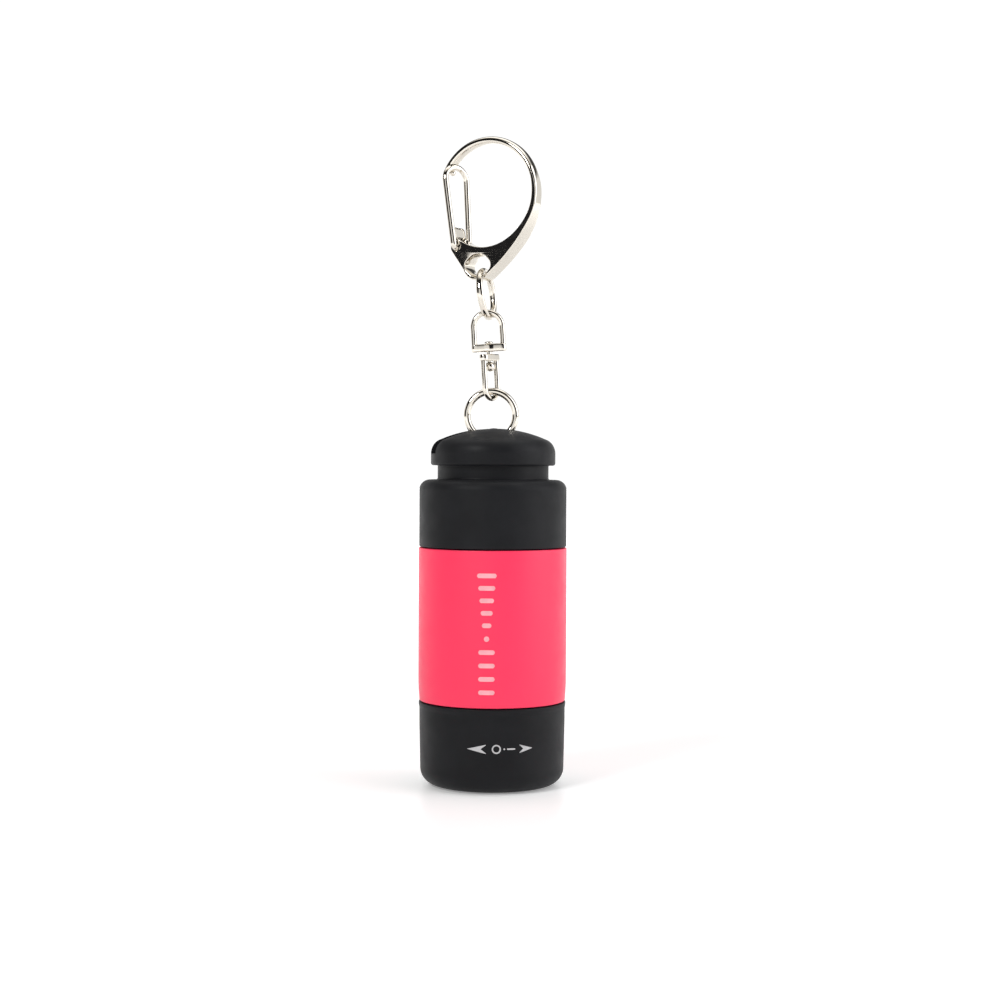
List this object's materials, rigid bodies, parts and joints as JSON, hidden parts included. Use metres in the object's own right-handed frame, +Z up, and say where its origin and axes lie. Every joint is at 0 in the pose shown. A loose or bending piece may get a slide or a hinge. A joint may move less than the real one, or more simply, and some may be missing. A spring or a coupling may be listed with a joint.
{
  "type": "keychain flashlight",
  "caption": "Short round torch with a soft black twist head, a pink barrel and a push-on domed tail cap over a USB plug, hung from a ring, a swivel, a link and a wire-gate snap hook.",
  "frame": {"origin": "centre of the bottom of the whole object: the torch stands on the rim round its lens, and its axis is the Z axis", "axes": "+Z up the torch from its lens to its tail and on along the chain, +X to the right and -Y towards the viewer"},
  "size_m": [0.024, 0.024, 0.1048],
  "materials": {
    "soft_black": "soft-touch, satin",
    "pink_shell": "satin",
    "polished_nickel": "polished",
    "clear_lens": "polished",
    "reflector_chrome": "polished",
    "black_rubber": "matt",
    "white_plastic": "satin",
    "board_green": "solder mask",
    "bare_aluminium": "brushed",
    "contact_brass": "polished",
    "contact_gold": "plated",
    "cell_wrap": "shrink wrap over a metal can",
    "phosphor": "gloss",
    "red_insulation": "satin",
    "black_insulation": "satin",
    "chip_black": "satin",
    "indicator_red": "gloss"
  },
  "bodies": {
    "body": {"body_sleeve": "pink_shell", "inner_chassis": "soft_black", "head_oring": "black_rubber", "tail_oring": "black_rubber", "contact_carrier": "white_plastic", "contact_pad": "contact_brass", "battery_cell": "cell_wrap", "foam_pad": "black_rubber", "lead_positive": "red_insulation", "lead_negative": "black_insulation", "charging_board": "board_green", "charge_chip": "chip_black", "charge_indicator": "indicator_red", "tail_plate": "soft_black", "usb_shell": "polished_nickel", "usb_tongue": "white_plastic", "usb_contact_1": "contact_gold", "usb_contact_2": "contact_gold", "usb_contact_3": "contact_gold", "usb_contact_4": "contact_gold"},
    "head": {"head_shell": "soft_black", "lens_gasket": "black_rubber", "front_lens": "clear_lens", "reflector": "reflector_chrome", "led_holder": "white_plastic", "led_emitter": "phosphor", "led_board": "bare_aluminium", "contact_spring": "polished_nickel"},
    "cap": {"cap_shell": "soft_black"},
    "ring": {"key_ring": "polished_nickel"},
    "swivel_lower": {"swivel_loop": "polished_nickel"},
    "swivel_upper": {"swivel_bow": "polished_nickel", "swivel_rivet": "polished_nickel"},
    "link": {"link": "polished_nickel"},
    "hook": {"hook_body": "polished_nickel"},
    "gate": {"hook_gate": "polished_nickel"}
  },
  "joints": [
    {"name": "head_twist", "type": "hinge", "parent": "body", "child": "head", "pos_m": [0, 0, 0], "axis": [0, 0, 1], "range_deg": [0, 60]},
    {"name": "cap_pull", "type": "slide", "parent": "body", "child": "cap", "axis": [0, 0, 1], "range_m": [0, 0.02]},
    {"name": "ring_swing", "type": "hinge", "parent": "cap", "child": "ring", "pos_m": [0, 0, 0.05715], "axis": [0, 1, 0], "range_deg": [-50, 50]},
    {"name": "loop_swing", "type": "hinge", "parent": "ring", "child": "swivel_lower", "pos_m": [-0.00032, 0, 0.06372], "axis": [1, 0, 0], "range_deg": [-70, 70]},
    {"name": "swivel_spin", "type": "hinge", "parent": "swivel_lower", "child": "swivel_upper", "pos_m": [-0.00032, 0, 0.06372], "axis": [-0.0628, 0, 0.998], "continuous": true},
    {"name": "link_swing", "type": "hinge", "parent": "swivel_upper", "child": "link", "pos_m": [-0.00112, 0, 0.07649], "axis": [0.998, 0, 0.0628], "range_deg": [-75, 75]},
    {"name": "hook_swing", "type": "hinge", "parent": "link", "child": "hook", "pos_m": [-0.00169, 0, 0.0833], "axis": [-0.515, -0.8572, 0], "range_deg": [-30, 30]},
    {"name": "gate_open", "type": "hinge", "parent": "hook", "child": "gate", "pos_m": [-0.0053, 0.00216, 0.08702], "axis": [0.515, 0.8572, 0], "range_deg": [0, 28], "stiffness_Nm_per_rad": 0.04, "springref_deg": -8.59}
  ]
}
